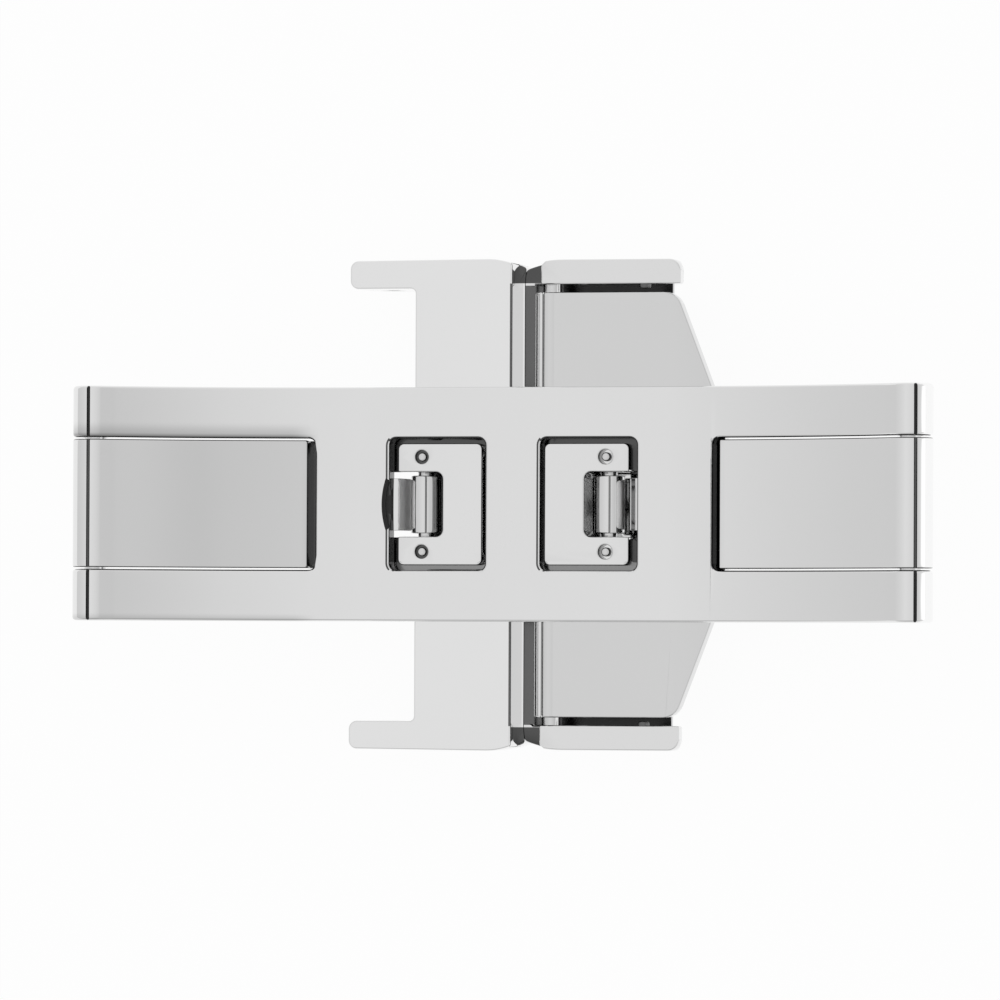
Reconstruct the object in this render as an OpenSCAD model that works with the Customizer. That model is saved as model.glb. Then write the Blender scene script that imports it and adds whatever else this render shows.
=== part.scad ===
// Butterfly deployant clasp for a watch strap, closed, seen with the wrist side up.
// X runs along the strap, Y along the hinge pins, +Z towards the wrist.
// Depths are measured down from the middle of the long plate's wrist face, and every piece
// is then raised so that the outer face lies at Z = 0.

/* [Long plate] */
// Width of the long plate along Y
plate_w = 9.9; // [9.7:0.1:10.1]
// Thickness of the long plate
plate_t = 1.05; // [1:0.01:1.06]
// Half length of the plate's flat middle
flat_half = 6.4; // [6.3:0.05:6.5]
// Radius of the wrist face at both ends
curve_r = 19; // [18.5:0.25:19.5]
// Angle of the bent end, from the flat to the hinge pin
hinge_angle = 34; // [33:0.5:35]
// Width of the bevel along the polished edges
edge_bevel = 0.12; // [0.08:0.02:0.14]

/* [Leaf hinges] */
// Radius of the hinge barrels
barrel_r = 0.95; // [0.9:0.01:1]
// Radius of the hinge pins
pin_r = 0.45; // [0.42:0.01:0.48]
// Running clearance of a leaf barrel on its pin
pin_gap = 0.03; // [0.02:0.01:0.05]
// Width of the slot between the fork arms
slot_w = 5.68; // [5.6:0.04:5.76]
// Distance along the plate from the middle to the slot's end
slot_start = 8.5; // [8.45:0.01:8.55]
// Width of the leaf that fills the slot
leaf_w = 5.32; // [5.28:0.02:5.36]
// Distance along the plate from the middle to the leaf's raised pad
pad_start = 8.88; // [8.85:0.01:8.95]

/* [Windows and hooks] */
// Inner edge of a window, from the middle
window_in = 1.09; // [1.05:0.01:1.12]
// Outer edge of a window, from the middle
window_out = 5.46; // [5.42:0.01:5.5]
// Width of a window along Y
window_w = 5.58; // [5.5:0.02:5.62]
// Corner radius of a window
window_corner = 0.3; // [0.2:0.05:0.4]
// Width of the hook on each window's outer edge
hook_w = 2.2; // [2.1:0.02:2.24]
// Distance from the middle to the hook's upright face
hook_face = 5; // [4.98:0.01:5.05]
// Distance from the middle to the hook's nose
hook_nose = 4.88; // [4.87:0.01:4.92]
// Depth of the hook below the wrist face
hook_depth = 1.75; // [1.7:0.01:1.78]

/* [Leaves] */
// Gap between the long plate and what folds under it
fold_gap = 0.1; // [0.08:0.01:0.12]
// Thickness of a leaf under the long plate
web_t = 0.75; // [0.7:0.05:0.8]
// Width of the leaves where they lie under the windows
web_w = 6.2; // [6.1:0.05:6.3]
// Inner end of the catch block, from the middle
block_in = 1.35; // [1.33:0.01:1.4]
// Outer end of the catch block, from the middle
block_out = 5; // [4.95:0.01:5.02]
// Width of the catch block along Y
block_w = 5.14; // [5.1:0.02:5.18]
// How far the block's face lies below the plate's wrist face
block_drop = 0.15; // [0.12:0.01:0.2]
// Inner end of the cut-out for the roller, from the middle
cut_in = 3.06; // [3.04:0.01:3.1]
// Width of the cut-out for the roller
cut_w = 2.74; // [2.7:0.02:2.78]

/* [Catch rollers] */
// Distance from the middle to a roller's axis
roller_x = 3.98; // [3.96:0.01:3.98]
// Depth of a roller's axis below the wrist face
roller_depth = 1; // [0.98:0.01:1.02]
// Outer radius of a roller
roller_r = 0.65; // [0.62:0.01:0.65]
// Length of a roller
roller_len = 2.44; // [2.4:0.02:2.48]
// Radius of the pin inside a roller
catch_pin_r = 0.35; // [0.32:0.01:0.36]
// Distance along Y from the middle to a lock pin
lock_y = 2; // [1.98:0.01:2.02]
// Radius of a lock pin
lock_r = 0.22; // [0.2:0.01:0.24]

/* [Cover halves] */
// Width of both cover halves along Y
cover_w = 20.8; // [20.6:0.1:21]
// Depth of the outer face below the wrist face
cover_depth = 4.55; // [4.5:0.05:4.6]
// Length of the lug half from the split to the lug tips
lug_reach = 7.4; // [7.3:0.05:7.5]
// Length of the lug half's solid body
body_reach = 4.55; // [4.5:0.05:4.6]
// Width of the gap between the two lugs
lug_gap = 18.3; // [18.2:0.05:18.4]
// Radius of the spring bar holes through the lugs
bar_r = 0.5; // [0.45:0.01:0.55]
// Length of the clamp half from the split to the ear tips
ear_reach = 7; // [6.95:0.05:7.05]
// Width of the channel between the two ears
channel_w = 18.6; // [18.54:0.02:18.7]
// Thickness of the clamp half's floor
skin_t = 0.8; // [0.75:0.05:0.85]
// Depth of the ledges at the split
ledge_depth = 2.2; // [2.15:0.01:2.25]

/* [Strap plate] */
// Width of the strap plate between the ears
strap_plate_w = 17.94; // [17.9:0.02:18]
// Distance from the middle to the clamp hinge
knuckle_x = 1.3; // [1.28:0.01:1.32]
// Radius of the rolled edge round the clamp hinge
knuckle_r = 0.78; // [0.76:0.01:0.8]
// Radius of the clamp hinge pin
clamp_pin_r = 0.36; // [0.34:0.01:0.38]
// Radius of the peg that goes through a strap hole
peg_r = 0.75; // [0.7:0.05:0.8]
// Distance from the middle to the peg
peg_x = 6.75; // [6.7:0.05:6.8]

/* [Hidden] */
$fn = 48;
steel = [0.8, 0.8, 0.81];
pin_steel = [0.7, 0.7, 0.72];

// Angle on the bent end of a point that lies a length s along the plate
function bend_angle(s) = (s - flat_half) / curve_r * 180 / PI;
// Point of the side view at a bend angle and a depth below the wrist face
function bent(a, d) = [flat_half + (curve_r + d) * sin(a), curve_r - (curve_r + d) * cos(a)];
// Points of an arc in a drawing plane
function arc(c, r, a0, a1, n = 8) = [for (i = [0:n]) c + r * [cos(a0 + (a1 - a0) * i / n), sin(a0 + (a1 - a0) * i / n)]];

// The barrels stand this much proud of the wrist face
barrel_proud = 0.03;
hinge_at = bent(hinge_angle, barrel_r - barrel_proud);
pad_angle = bend_angle(pad_start);
web_top = plate_t + fold_gap;
web_bottom = web_top + web_t;
// The rolled edge stands this much proud of the strap plate
knuckle_proud = 0.03;
knuckle_z = knuckle_proud - web_top - knuckle_r;
roller_z = -roller_depth;
split_gap = 0.03;
pocket_gap = 0.02;

// Spring bar and rivets of the lug half
bar_x = 5.95;
bar_z = -2.95;
foot_in = 0.75;
foot_out = 4.25;
foot_w = 8.8;
rivet_x = [1.75, 3.45];
rivet_y = 3.45;
rivet_r = 0.4;
rivet_head_r = 0.62;
rivet_head_t = 0.25;
rivet_len = 2.1;

// Strap plate outline: rounded corners by the ears, then shoulders that narrow to the leaf
corner_x = 7.05;
corner_r = 0.8;
shoulder_x = 8.36;

// Angles between which a leaf steps down from the slot to under the long plate
joggle_in = 15;
joggle_out = 19.5;

// Notches at the ends of the split
notch_y = 9.4;
notch_out = 0.95;
ledge_in = 0.32;

// Puts a piece at its height above the outer face
module raised() {
    translate([0, 0, cover_depth]) children();
}

// A solid of the side view (X, Z), as wide as w along Y and centred on it
module across(w) {
    rotate([90, 0, 0]) linear_extrude(w, center = true) children();
}

// The same solid on the left and on the right
module both_ends() {
    children();
    mirror([1, 0, 0]) children();
}

// The same solid in front and behind
module both_sides() {
    children();
    mirror([0, 1, 0]) children();
}

// Sweeps a cross-section (depth, Y) round the bent end between two angles
module bend(a0, a1) {
    translate([flat_half, 0, curve_r]) rotate([90, 0, 0]) rotate([0, 0, a0 - 90])
        rotate_extrude(angle = a1 - a0, $fn = 180) translate([curve_r, 0]) children();
}

// Side view of a bent strip between two depths and two angles
module bent_strip(d0, d1, a0, a1) {
    reach = 2;
    intersection() {
        translate([flat_half, curve_r]) difference() {
            circle(curve_r + d1, $fn = 180);
            circle(curve_r + d0, $fn = 180);
        }
        polygon([bent(a0, d0 - reach), bent(a0, d1 + reach), bent(a1, d1 + reach), bent(a1, d0 - reach)]);
    }
}

// Side view of the right half of a strip: flat from x0, then bent up to an angle
module strip_profile(x0, d0, d1, a1) {
    translate([x0, -d1]) square([flat_half - x0, d1 - d0]);
    bent_strip(d0, d1, 0, a1);
}

// Cuts the bevel off the wrist face's long edges, out to the hinge barrels
module edge_cuts(x0, w, bevel) {
    over = 0.2;
    corner = [[-over, over], [bevel + over, over], [-over, -bevel - over]];
    both_sides() {
        translate([x0, -w / 2, 0]) rotate([90, 0, 90]) linear_extrude(flat_half - x0) polygon(corner);
        bend(0, hinge_angle + 2) translate([0, -w / 2]) rotate(-90) mirror([1, 0]) polygon(corner);
    }
}

// A rectangle with round corners
module rounded_rect(x0, x1, y0, y1, r) {
    translate([x0 + r, y0]) square([x1 - x0 - 2 * r, y1 - y0]);
    translate([x0, y0 + r]) square([x1 - x0, y1 - y0 - 2 * r]);
    for (x = [x0 + r, x1 - r], y = [y0 + r, y1 - r]) translate([x, y]) circle(r, $fn = 32);
}

// A pin along Y, its ends bevelled
module cross_pin(r, len, bevel) {
    rotate([90, 0, 0]) rotate_extrude()
        polygon([[0, -len / 2], [r - bevel, -len / 2], [r, -len / 2 + bevel],
            [r, len / 2 - bevel], [r - bevel, len / 2], [0, len / 2]]);
}

// The hook on a window's outer edge: an upright face and a small nose
module hook() {
    across(hook_w) polygon([[window_out + 0.3, -0.08], [hook_face, -0.08],
        [hook_face, -1.3], [hook_nose, -1.48], [hook_nose, -hook_depth + 0.12],
        [hook_face, -hook_depth], [window_out - 0.1, -hook_depth], [window_out + 0.05, -plate_t],
        [window_out + 0.3, -plate_t + 0.05]]);
}

// The scoop in the wrist face in front of a hook, and the slope along the hook's top
module hook_dip() {
    across(hook_w + 0.1) polygon([[window_out + 0.27, 0.02], [window_out + 0.04, -0.16],
        [hook_face - 0.1, -0.4], [hook_face - 0.1, 0.5], [window_out + 0.27, 0.5]]);
}

// Side view of the long plate's right half, with its hinge barrel
module plate_profile() {
    strip_profile(0, 0, plate_t, hinge_angle);
    translate(hinge_at) circle(barrel_r);
}

module base_plate() {
    color(steel) raised() difference() {
        union() {
            difference() {
                across(plate_w) {
                    plate_profile();
                    mirror([1, 0]) plate_profile();
                }
                both_ends() {
                    // Window, and slot between the fork arms
                    translate([0, 0, -plate_t - 1]) linear_extrude(plate_t + 2)
                        rounded_rect(window_in, window_out, -window_w / 2, window_w / 2, window_corner);
                    translate([slot_start, -slot_w / 2, -plate_t - 1]) cube([20, slot_w, 20]);
                }
            }
            both_ends() hook();
        }
        both_ends() {
            hook_dip();
            edge_cuts(-1, plate_w, edge_bevel);
            translate([hinge_at[0], 0, hinge_at[1]]) rotate([90, 0, 0])
                cylinder(r = pin_r, h = plate_w + 1, center = true);
        }
    }
}

module hinge_pin(side) {
    color(pin_steel) raised() translate([side * hinge_at[0], 0, hinge_at[1]]) cross_pin(pin_r, plate_w - 0.06, 0.08);
}

// Side view of the right leaf: pad in the slot, joggle, web under the long plate, barrel
module leaf_profile() {
    bent_strip(0, plate_t, pad_angle, hinge_angle);
    bent_strip(0, web_bottom, pad_angle, joggle_in);
    strip_profile(block_in, web_top, web_bottom, joggle_in);
    polygon([bent(joggle_in - 1, 1), bent(joggle_in, web_bottom), bent(joggle_out, plate_t - 0.05),
        bent(joggle_out, 0.5), bent(joggle_in - 1, 0.5)]);
    translate(hinge_at) circle(barrel_r);
}

// The leaf with its catch block, drawn for the right side
module leaf_body() {
    across(leaf_w) leaf_profile();
    translate([0, 0, -web_top - 0.2]) linear_extrude(web_top + 0.2 - block_drop)
        rounded_rect(block_in, block_out, -block_w / 2, block_w / 2, 0.25);
    translate([block_in, -web_w / 2, -web_bottom]) cube([flat_half - block_in, web_w, web_t]);
}

// What is cut out of a leaf: roller slot, hook clearance, bores
module leaf_cuts() {
    translate([0, 0, -web_bottom - 1]) linear_extrude(web_bottom + 2) {
        rounded_rect(cut_in, block_out + 1, -cut_w / 2, cut_w / 2, 0.3);
        rounded_rect(block_out - 0.3, window_out + 0.4, -hook_w / 2 - 0.15, hook_w / 2 + 0.15, 0.15);
    }
    translate([roller_x, 0, roller_z]) rotate([90, 0, 0])
        cylinder(r = catch_pin_r, h = 2 * lock_y, center = true);
    both_sides() translate([roller_x, lock_y, 0]) {
        translate([0, 0, -web_bottom + 0.1]) cylinder(r = lock_r, h = web_bottom);
        translate([0, 0, -block_drop - 0.3]) cylinder(r = lock_r + 0.06, h = 1);
    }
    translate([hinge_at[0], 0, hinge_at[1]]) rotate([90, 0, 0])
        cylinder(r = pin_r + pin_gap, h = leaf_w + 1, center = true);
    edge_cuts(flat_half - 0.1, leaf_w, 0.06);
}

module rivet_places() {
    for (x = rivet_x, side = [-1, 1]) translate([-x, side * rivet_y, -web_top]) children();
}

module left_leaf() {
    color(steel) raised() difference() {
        union() {
            mirror([1, 0, 0]) leaf_body();
            translate([0, 0, -web_bottom]) linear_extrude(web_t)
                rounded_rect(-foot_out, -foot_in, -foot_w / 2, foot_w / 2, 0.5);
        }
        mirror([1, 0, 0]) leaf_cuts();
        rivet_places() {
            translate([0, 0, -3]) cylinder(r = rivet_r, h = 4);
            translate([0, 0, -rivet_head_t]) cylinder(r = rivet_head_r, h = 1);
        }
    }
}

// Outline of the strap plate seen from above, for the half with positive Y
strap_outline = concat(
    [[knuckle_x, 0], [knuckle_x, strap_plate_w / 2]],
    arc([corner_x - corner_r, strap_plate_w / 2 - corner_r], corner_r, 90, 20, 6),
    [[shoulder_x, plate_w / 2], [shoulder_x + 0.62, leaf_w / 2], [shoulder_x + 0.62, 0]]);

module right_leaf() {
    color(steel) raised() difference() {
        union() {
            leaf_body();
            intersection() {
                both_sides() translate([0, 0, -web_bottom - 1]) linear_extrude(6) polygon(strap_outline);
                across(cover_w) strip_profile(knuckle_x, web_top, web_bottom, 12);
            }
            translate([knuckle_x, 0, knuckle_z]) cross_pin(knuckle_r, strap_plate_w, 0.1);
        }
        leaf_cuts();
        translate([knuckle_x, 0, knuckle_z]) rotate([90, 0, 0])
            cylinder(r = clamp_pin_r + pin_gap, h = cover_w, center = true);
        translate([peg_x, 0, -web_bottom - 1]) cylinder(r = 0.4, h = 3);
    }
}

// Outline of the lug half seen from above, for the half with positive Y
lug_tip_r = 0.35;
lug_outline = concat(
    [[-split_gap, 0], [-split_gap, cover_w / 2 - 0.45]],
    arc([-1.4, cover_w / 2 - 3.0], 3.0, 62, 90, 6),
    arc([-lug_reach + lug_tip_r, cover_w / 2 - 0.05 - lug_tip_r], lug_tip_r, 90, 180, 6),
    arc([-lug_reach + lug_tip_r, lug_gap / 2 + lug_tip_r], lug_tip_r, 180, 270, 6),
    arc([-body_reach - 0.2, lug_gap / 2 - 0.2], 0.2, 90, 0, 4),
    [[-body_reach, 0]]);

// Side view of the lug half: flat outer face, turned up towards the lug tips
lug_profile = concat(
    [[0, -web_top], [0, -cover_depth]],
    arc([-4.9, -cover_depth + 2.2], 2.2, 270, 195, 8),
    arc([-lug_reach + 0.12, -web_top - 0.12], 0.12, 180, 90, 4));

// Front view shared by both halves: outer face bevelled along its long edges
module cover_front(top) {
    half = cover_w / 2 + 0.1;
    polygon([[-half, top - edge_bevel], [-half + 0.1 + edge_bevel, top], [half - 0.1 - edge_bevel, top],
        [half, top - edge_bevel], [half, -cover_depth + 0.9], [half - 0.35, -cover_depth + 0.35],
        [half - 1, -cover_depth], [-half + 1, -cover_depth], [-half + 0.35, -cover_depth + 0.35],
        [-half, -cover_depth + 0.9]]);
}

// The sloping notch at each end of the split
module split_notch() {
    both_sides() translate([-ledge_in, 0, 0]) rotate([90, 0, 90]) linear_extrude(ledge_in + notch_out)
        polygon([[notch_y, 0], [notch_y, -ledge_depth + 0.1], [notch_y + 0.12, -ledge_depth],
            [cover_w / 2 + 0.2, -ledge_depth - 0.45], [cover_w / 2 + 0.2, 0]]);
}

module lug_cover() {
    color(steel) raised() difference() {
        intersection() {
            both_sides() translate([0, 0, -6]) linear_extrude(6) polygon(lug_outline);
            across(cover_w + 1) polygon(lug_profile);
            rotate([90, 0, 90]) linear_extrude(20, center = true) cover_front(-web_top);
        }
        // Ledge at the split, and its notched ends
        translate([-ledge_in, -notch_y, -ledge_depth]) cube([2, 2 * notch_y, 5]);
        split_notch();
        // Pocket for the leaf's foot
        translate([0, 0, -web_bottom]) linear_extrude(2)
            rounded_rect(-foot_out - pocket_gap, -foot_in + pocket_gap,
                -foot_w / 2 - pocket_gap, foot_w / 2 + pocket_gap, 0.5);
        translate([-6, -web_w / 2 - pocket_gap, -web_bottom]) cube([4, web_w + 2 * pocket_gap, 2]);
        // Well under the roller and behind it
        translate([0, 0, roller_z - roller_r - 0.35]) linear_extrude(2)
            rounded_rect(-6, -cut_in + 0.1, -cut_w / 2, cut_w / 2, 0.3);
        rivet_places() translate([0, 0, -rivet_len]) cylinder(r = rivet_r, h = 4);
        translate([-bar_x, 0, bar_z]) rotate([90, 0, 0]) cylinder(r = bar_r, h = cover_w + 2, center = true);
    }
}

// A rivet with a flush head, its centre on the leaf's face
module rivet(x, side) {
    color(pin_steel) raised() translate([-x, side * rivet_y, -web_top]) rotate_extrude()
        polygon([[0, -rivet_len], [rivet_r, -rivet_len], [rivet_r, -rivet_head_t],
            [rivet_head_r, -rivet_head_t], [rivet_head_r, -0.06], [rivet_head_r - 0.06, 0], [0, 0]]);
}

// Outline of the clamp half seen from above, for the half with positive Y
clamp_outline = concat(
    [[split_gap, 0], [ear_reach, 0]],
    arc([ear_reach - 0.5, cover_w / 2 - 0.55], 0.5, 0, 90, 6),
    arc([1.9, cover_w / 2 - 5.05], 5.0, 90, 112, 6),
    [[split_gap, cover_w / 2 - 0.45]]);

// Side view of the clamp half: its free end leans in below the ear tips
clamp_top = web_top - 0.1;
clamp_profile = concat(
    [[0, -clamp_top], [0, -cover_depth]],
    arc([ear_reach - 1.8, -cover_depth + 0.95], 0.95, 270, 345, 8),
    arc([ear_reach - 0.25, -clamp_top - 0.25], 0.25, 0, 90, 4));

module clamp_cover() {
    color(steel) raised() difference() {
        intersection() {
            both_sides() translate([0, 0, -6]) linear_extrude(6) polygon(clamp_outline);
            across(cover_w + 1) polygon(clamp_profile);
            rotate([90, 0, 90]) linear_extrude(20, center = true) cover_front(-clamp_top);
        }
        // Strap channel, open towards the strap
        translate([knuckle_x, -channel_w / 2, -cover_depth + skin_t]) cube([10, channel_w, 6]);
        translate([knuckle_x, 0, knuckle_z]) rotate([90, 0, 0])
            cylinder(r = knuckle_r + 0.07, h = channel_w, center = true);
        translate([-1, -channel_w / 2, -ledge_depth]) cube([3, channel_w, 5]);
        translate([knuckle_x - 0.75, -channel_w / 2, -cover_depth + skin_t]) cube([2, channel_w, 1.2]);
        // Inner end: low shoulders, then the ears rise
        split_notch();
        translate([knuckle_x, 0, knuckle_z]) rotate([90, 0, 0])
            cylinder(r = clamp_pin_r, h = cover_w - 0.7, center = true);
    }
    // Snap bumps on the inner faces of the ears
    color(steel) raised() both_sides() translate([5.4, channel_w / 2 + 0.1, -web_top - 0.15])
        rotate([90, 0, 0]) cylinder(r1 = 0.35, r2 = 0.2, h = 0.28);
}

module clamp_hinge_pin() {
    color(pin_steel) raised() translate([knuckle_x, 0, knuckle_z]) cross_pin(clamp_pin_r, cover_w - 0.72, 0.06);
}

// Peg pressed into the strap plate, its free end rounded
module strap_peg() {
    color(pin_steel) raised() translate([peg_x, 0, -web_bottom]) rotate_extrude()
        polygon(concat([[0, 0.6], [0.4, 0.6], [0.4, 0], [peg_r, 0], [peg_r, -1.3]],
            arc([peg_r - 0.3, -1.3], 0.3, 0, -90, 6), [[0, -1.6]]));
}

module roller(side) {
    color(steel) raised() translate([side * roller_x, 0, roller_z]) difference() {
        cross_pin(roller_r, roller_len, 0.06);
        rotate([90, 0, 0]) cylinder(r = catch_pin_r + pin_gap, h = roller_len + 1, center = true);
    }
}

module catch_pin(side) {
    color(pin_steel) raised() translate([side * roller_x, 0, roller_z])
        cross_pin(catch_pin_r, 2 * (lock_y - lock_r) - 0.02, 0.04);
}

// Lock pin that stands in the block and keeps the catch pin in its bore
module lock_pin(side, y) {
    color(pin_steel) raised() translate([side * roller_x, y, 0]) rotate_extrude()
        polygon([[0, -web_bottom + 0.1], [lock_r, -web_bottom + 0.1], [lock_r, -block_drop - 0.34],
            [lock_r - 0.05, -block_drop - 0.29], [0, -block_drop - 0.29]]);
}

base_plate();
hinge_pin(-1);  // left_hinge_pin
hinge_pin(1);  // right_hinge_pin
left_leaf();
right_leaf();
lug_cover();
rivet(rivet_x[0], -1);  // lug_rivet_1
rivet(rivet_x[0], 1);  // lug_rivet_2
rivet(rivet_x[1], -1);  // lug_rivet_3
rivet(rivet_x[1], 1);  // lug_rivet_4
clamp_cover();
clamp_hinge_pin();
strap_peg();
roller(-1);  // left_roller
roller(1);  // right_roller
catch_pin(-1);  // left_catch_pin
catch_pin(1);  // right_catch_pin
lock_pin(-1, -lock_y);  // left_lock_pin_1
lock_pin(-1, lock_y);  // left_lock_pin_2
lock_pin(1, -lock_y);  // right_lock_pin_1
lock_pin(1, lock_y);  // right_lock_pin_2
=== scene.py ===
"""A butterfly deployant clasp for a watch strap, closed, seen from its wrist side."""

import math

import bmesh
import bpy
from mathutils import Matrix, Vector


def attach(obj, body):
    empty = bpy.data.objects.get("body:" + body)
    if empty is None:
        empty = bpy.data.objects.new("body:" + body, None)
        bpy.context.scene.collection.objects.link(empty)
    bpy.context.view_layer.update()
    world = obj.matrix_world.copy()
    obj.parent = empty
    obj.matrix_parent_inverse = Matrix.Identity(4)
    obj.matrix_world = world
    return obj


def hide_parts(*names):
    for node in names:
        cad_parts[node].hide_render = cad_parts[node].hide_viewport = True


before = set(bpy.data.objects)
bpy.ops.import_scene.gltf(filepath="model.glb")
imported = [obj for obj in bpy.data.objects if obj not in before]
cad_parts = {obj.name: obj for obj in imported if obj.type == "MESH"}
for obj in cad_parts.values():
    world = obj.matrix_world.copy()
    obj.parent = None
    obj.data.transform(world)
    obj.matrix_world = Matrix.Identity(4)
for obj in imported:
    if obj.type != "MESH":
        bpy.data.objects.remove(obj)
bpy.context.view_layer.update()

# Camera, studio and floor.
# The clasp lies on a pale table under a white tent. The camera looks down on the wrist side,
# tipped a little towards the clamp half, from about 35 cm away.
mm = 0.001
stack_height = 4.55  # mm from the outer face up to the long plate's wrist face
view_distance = 354.2
tip_to_clamp = 0.2409  # radians
tip_to_front = 0.0186
camera_roll = 0.0042
camera_shift = (-0.509, 0.177)  # mm, so that the clasp lies as it does in the picture
sensor_width = 36  # mm
focal_length = 302.95
nearest_seen = 0.01  # metres
back = Vector((math.sin(tip_to_clamp), -math.sin(tip_to_front), 0))
back.z = math.sqrt(1 - back.length_squared)
level = Vector((0, 1, 0)).cross(back).normalized()
upright = back.cross(level)
right = math.cos(camera_roll) * level + math.sin(camera_roll) * upright
up = -math.sin(camera_roll) * level + math.cos(camera_roll) * upright
place = back * view_distance + right * camera_shift[0] + up * camera_shift[1]
place.z += stack_height

camera_data = bpy.data.cameras.new("camera")
camera_data.sensor_width = sensor_width
camera_data.lens = focal_length
camera_data.clip_start = nearest_seen
camera = bpy.data.objects.new("camera", camera_data)
bpy.context.scene.collection.objects.link(camera)
turn = Matrix((right, up, back)).transposed().to_4x4()
camera.matrix_world = Matrix.Translation(place * mm) @ turn
bpy.context.scene.camera = camera
bpy.context.scene.view_settings.view_transform = "Standard"


class Wire:
    """A shader value that can be used in Python sums, and the nodes that make others."""

    def __init__(self, tree, socket):
        self.tree = tree
        self.socket = socket

    def node(self, kind, settings=None, stops=None, output=0, **sockets):
        """Adds any node: its settings or ramp stops first, then its sockets' values or links."""
        made = self.tree.nodes.new("ShaderNode" + kind)
        for setting, value in (settings or {}).items():
            setattr(made, setting, value)
        for stop, (position, colour) in enumerate(stops or []):
            ramp = made.color_ramp.elements
            element = ramp[stop] if stop < 2 else ramp.new(position)
            element.position = position
            element.color = colour
        for name, value in sockets.items():
            key = int(name[1:]) if name[1:].isdigit() else name.replace("_", " ")
            if isinstance(value, Wire):
                self.tree.links.new(value.socket, made.inputs[key])
            else:
                made.inputs[key].default_value = value
        return Wire(self.tree, made.outputs[output])

    def maths(self, operation, first, second=0.0):
        """Adds a Math node."""
        return self.node("Math", {"operation": operation}, i0=first, i1=second)

    def __add__(self, other):
        return self.maths("ADD", self, other)

    def __sub__(self, other):
        return self.maths("SUBTRACT", self, other)

    def __rsub__(self, other):
        return self.maths("SUBTRACT", other, self)

    def __mul__(self, other):
        return self.maths("MULTIPLY", self, other)

    __radd__ = __add__
    __rmul__ = __mul__


def smooth(value, start, end):
    """0 below start, 1 above end, with a soft step between."""
    settings = {"interpolation_type": "SMOOTHSTEP"}
    return value.node("MapRange", settings, i0=value, i1=start, i2=end)


world = bpy.data.worlds.new("studio")
bpy.context.scene.world = world
world.use_nodes = True
tree = world.node_tree
tree.nodes.clear()
start = Wire(tree, None)
direction = start.node("TexCoord", output=0)
along = start.node("SeparateXYZ", i0=direction)
across = start.node("SeparateXYZ", i0=direction, output=1)
roof = 0.87
front_dimming = 0.4
front_from = 0.5
front_to = 0.95

# From the lug side over the top to the clamp side the tent brightens, dims, and turns bright white
# just above the table; it is dimmer towards the front
sides = [(0.0, 0.84), (0.38, 1.0), (0.5, 0.98), (0.67, 0.925), (0.9, 0.785), (0.945, 0.82), (0.975, 1.3)]
tent = start.node("ValToRGB", stops=[(at, (light, light, light, 1)) for at, light in sides],
                  i0=along * 0.5 + 0.5)
shown = roof * tent * (1 - front_dimming * smooth(0 - across, front_from, front_to))
sky = start.node("Background", Color=start.node("CombineColor", i0=shown, i1=shown, i2=shown))
seen = start.node("Background", Color=(1, 1, 1, 1))
is_camera = start.node("LightPath", output=0)
mixed = start.node("MixShader", i0=is_camera, i1=sky, i2=seen)
output = tree.nodes.new("ShaderNodeOutputWorld")
tree.links.new(mixed.socket, output.inputs[0])

# The table is a white sheet that shows as plain white, with the clasp's shadow faint on it
floor_reach = 1.5  # metres
paper_white = 0.92
glow_share = 0.95
bm = bmesh.new()
bmesh.ops.create_grid(bm, x_segments=1, y_segments=1, size=floor_reach)
floor_mesh = bpy.data.meshes.new("floor")
bm.to_mesh(floor_mesh)
bm.free()
floor = bpy.data.objects.new("floor", floor_mesh)
bpy.context.scene.collection.objects.link(floor)
paper = bpy.data.materials.new("white_paper")
paper.use_nodes = True
tree = paper.node_tree
tree.nodes.clear()
start = Wire(tree, None)
paths = start.node("LightPath").socket.node.outputs
seen_directly = Wire(tree, paths["Is Camera Ray"]) + Wire(tree, paths["Is Glossy Ray"])
seen_at_all = start.maths("MINIMUM", seen_directly + Wire(tree, paths["Is Transmission Ray"]), 1.0)
glow = start.node("Emission", Color=(1, 1, 1, 1), Strength=1.0)
sheet = start.node("BsdfDiffuse", Color=(paper_white, paper_white, paper_white, 1))
mixed = start.node("MixShader", i0=seen_at_all * glow_share, i1=sheet, i2=glow)
output = tree.nodes.new("ShaderNodeOutputMaterial")
tree.links.new(mixed.socket, output.inputs[0])
floor_mesh.materials.append(paper)


# Long plate with its two hooks.
# One strip of steel, blanked, bent up at both ends and rolled into hinge barrels, then
# mirror polished so that all its edges are softly rounded. The hooks are left as sawn.
plate_w = 9.9
plate_t = 1.05
plate_edge = 0.14
flat_half = 6.4
curve_r = 19
hinge_angle = 34
bend_end = hinge_angle - 1.2  # where the barrel begins on the wrist face
barrel_r = 0.95
barrel_proud = 0.03
barrel_steps = 64
seam_r = 0.075
left_seam = 3.0  # degrees outwards from the barrel's top
right_seam = 24.0
pin_r = 0.45
slot_w = 5.56
slot_start = 8.56
slot_corner = 0.3
right_wing_shift = 0.08
slot_end = (8.2, 8.9)  # where the walls and the gap at a slot's inner end lie
window_in = 1.19
window_out = 5.36
window_middle = (window_in + window_out) / 2
window_w = 5.58
window_corner = 0.3
window_zone = 6
wall_zone = (15.5, 2.95)  # how far from the middle the windows' and slots' walls lie, along X and Y
hook_w = 2.2
hook_face = 5.0
hook_nose = 4.82
hook_depth = 1.75
hook_edge = 0.02
scoop_r = 3.35
scoop_reach = 0.18
scoop_depth = 0.45
scoop_slope = 0.33
scoop_angle = 22
scoop_zone = (5.95, 1.5)
arc_steps = 45
past_side = 6  # cutters and grooves reach past the plate's sides
past_end = 22
under_plate = -3
over_plate = 2
over_ends = 9


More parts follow.
